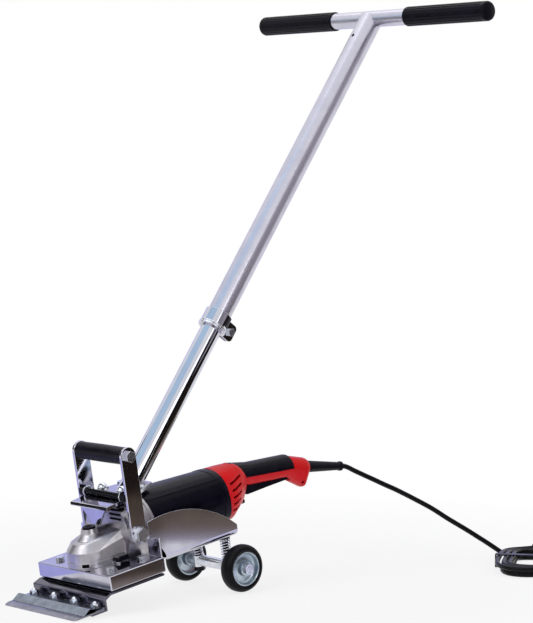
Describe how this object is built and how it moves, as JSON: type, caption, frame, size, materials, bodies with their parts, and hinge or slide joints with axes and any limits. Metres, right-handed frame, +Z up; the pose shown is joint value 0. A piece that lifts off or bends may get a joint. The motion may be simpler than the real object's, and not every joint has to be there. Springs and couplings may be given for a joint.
{
  "type": "power scraper",
  "caption": "Walk-behind powered floor scraper: a wheeled steel cradle holds a motor that drives a reciprocating blade, with a telescopic post, T handle, front grip and mains lead.",
  "frame": {"origin": "on the floor, under the middle of the object's box without its lead", "axes": "+Z up, -Y towards the blade, +X along the T handle to the right of a user who stands behind"},
  "size_m": [0.4735, 0.8673, 0.7771],
  "materials": {
    "chrome": "bright plated steel",
    "zinc": "zinc plated steel",
    "steel": "ground steel",
    "cast": "bead-blasted cast aluminium",
    "tube": "satin anodised",
    "iron": "machined",
    "copper": "wound copper and laminations",
    "black": "fine grained moulding",
    "rubber": "soft grip",
    "tyre": "smooth tread",
    "red": "semi-gloss moulding"
  },
  "bodies": {
    "frame": {"slide_housing": "chrome", "housing_bolts": "zinc", "guide_rails": "iron", "gear_case": "cast", "bearing_cap": "cast", "motor_housing": "black", "handle_left": "red", "handle_right": "red", "handle_overmould": "rubber", "handle_screws": "steel", "switch_body": "black", "stator": "copper", "carbon_brushes": "iron", "ball_bearings": "steel", "saddle_plate": "chrome", "saddle_bolts": "zinc", "lower_tube": "chrome", "handle_bars": "chrome", "front_grip": "rubber", "grip_rod": "zinc", "side_bolts": "zinc", "tie_rod": "iron", "cradle": "chrome", "guide_bolts": "zinc", "spring_left": "zinc", "spring_right": "zinc", "cord_boot": "rubber", "cord_run": "rubber", "cord_hank": "rubber", "cord_tie": "black", "plug": "rubber"},
    "post": {"upper_tube": "tube", "clamp_collar": "chrome", "clamp_bolt": "zinc", "tee_bar": "tube", "tee_grips": "rubber"},
    "axle": {"axle_tube": "zinc", "stub_axles": "zinc", "axle_nuts": "zinc"},
    "wheel_left": {"tyre_left": "tyre", "rim_left": "zinc"},
    "wheel_right": {"tyre_right": "tyre", "rim_right": "zinc"},
    "carriage": {"carriage_plate": "chrome", "slide_block": "iron", "blade": "steel", "clamp_plate": "zinc", "blade_studs": "zinc"},
    "rotor": {"armature": "copper", "motor_shaft": "steel", "commutator": "copper", "fan": "black"},
    "spindle": {"spindle": "steel", "crown_gear": "steel", "eccentric": "steel", "eccentric_bearing": "steel"},
    "trigger": {"trigger": "black"},
    "lock_button": {"lock_button": "black"},
    "spindle_button": {"spindle_button": "black"},
    "guard_lever": {"guard_lever": "black"}
  },
  "joints": [
    {"name": "post_slide", "type": "slide", "parent": "frame", "child": "post", "axis": [0, 0.5736, 0.8192], "range_m": [-0.18, 0.16]},
    {"name": "suspension", "type": "slide", "parent": "frame", "child": "axle", "axis": [0, -0.1736, 0.9848], "range_m": [0, 0.01], "stiffness_N_per_m": 4000, "springref_m": -0.015, "deforming": ["spring_left", "spring_right"]},
    {"name": "wheel_left_spin", "type": "hinge", "parent": "axle", "child": "wheel_left", "pos_m": [-0.057, -0.00832, 0.0315], "axis": [1, 0, 0], "continuous": true},
    {"name": "wheel_right_spin", "type": "hinge", "parent": "axle", "child": "wheel_right", "pos_m": [0.057, -0.00832, 0.0315], "axis": [1, 0, 0], "continuous": true},
    {"name": "blade_slide", "type": "slide", "parent": "frame", "child": "carriage", "axis": [0, 0.9848, 0.1736], "range_m": [-0.002, 0.002]},
    {"name": "motor_spin", "type": "hinge", "parent": "frame", "child": "rotor", "pos_m": [0, -0.09957, 0.10558], "axis": [0, 0.9848, 0.1736], "continuous": true},
    {"name": "spindle_spin", "type": "hinge", "parent": "frame", "child": "spindle", "pos_m": [0, -0.21016, 0.06475], "axis": [0, -0.1736, 0.9848], "continuous": true},
    {"name": "trigger_pull", "type": "hinge", "parent": "frame", "child": "trigger", "pos_m": [0, 0.11136, 0.14175], "axis": [-1, 0, 0], "range_deg": [0, 3.5], "stiffness_Nm_per_rad": 4, "springref_deg": -8.59},
    {"name": "lock_push", "type": "slide", "parent": "frame", "child": "lock_button", "axis": [0, -0.9848, -0.1736], "range_m": [0, 0.0025], "stiffness_N_per_m": 500, "springref_m": -0.004},
    {"name": "spindle_button_push", "type": "slide", "parent": "frame", "child": "spindle_button", "axis": [0, 0.1736, -0.9848], "range_m": [0, 0.002], "stiffness_N_per_m": 800, "springref_m": -0.004},
    {"name": "guard_lever_swing", "type": "hinge", "parent": "frame", "child": "guard_lever", "pos_m": [0.0383, -0.19944, 0.06157], "axis": [0, 0.1736, -0.9848], "range_deg": [0, 25], "stiffness_Nm_per_rad": 0.2, "springref_deg": -17.19}
  ],
  "couplings": [
    {"joint": "spindle_spin", "follows": "motor_spin", "ratio": 0.33333}
  ]
}
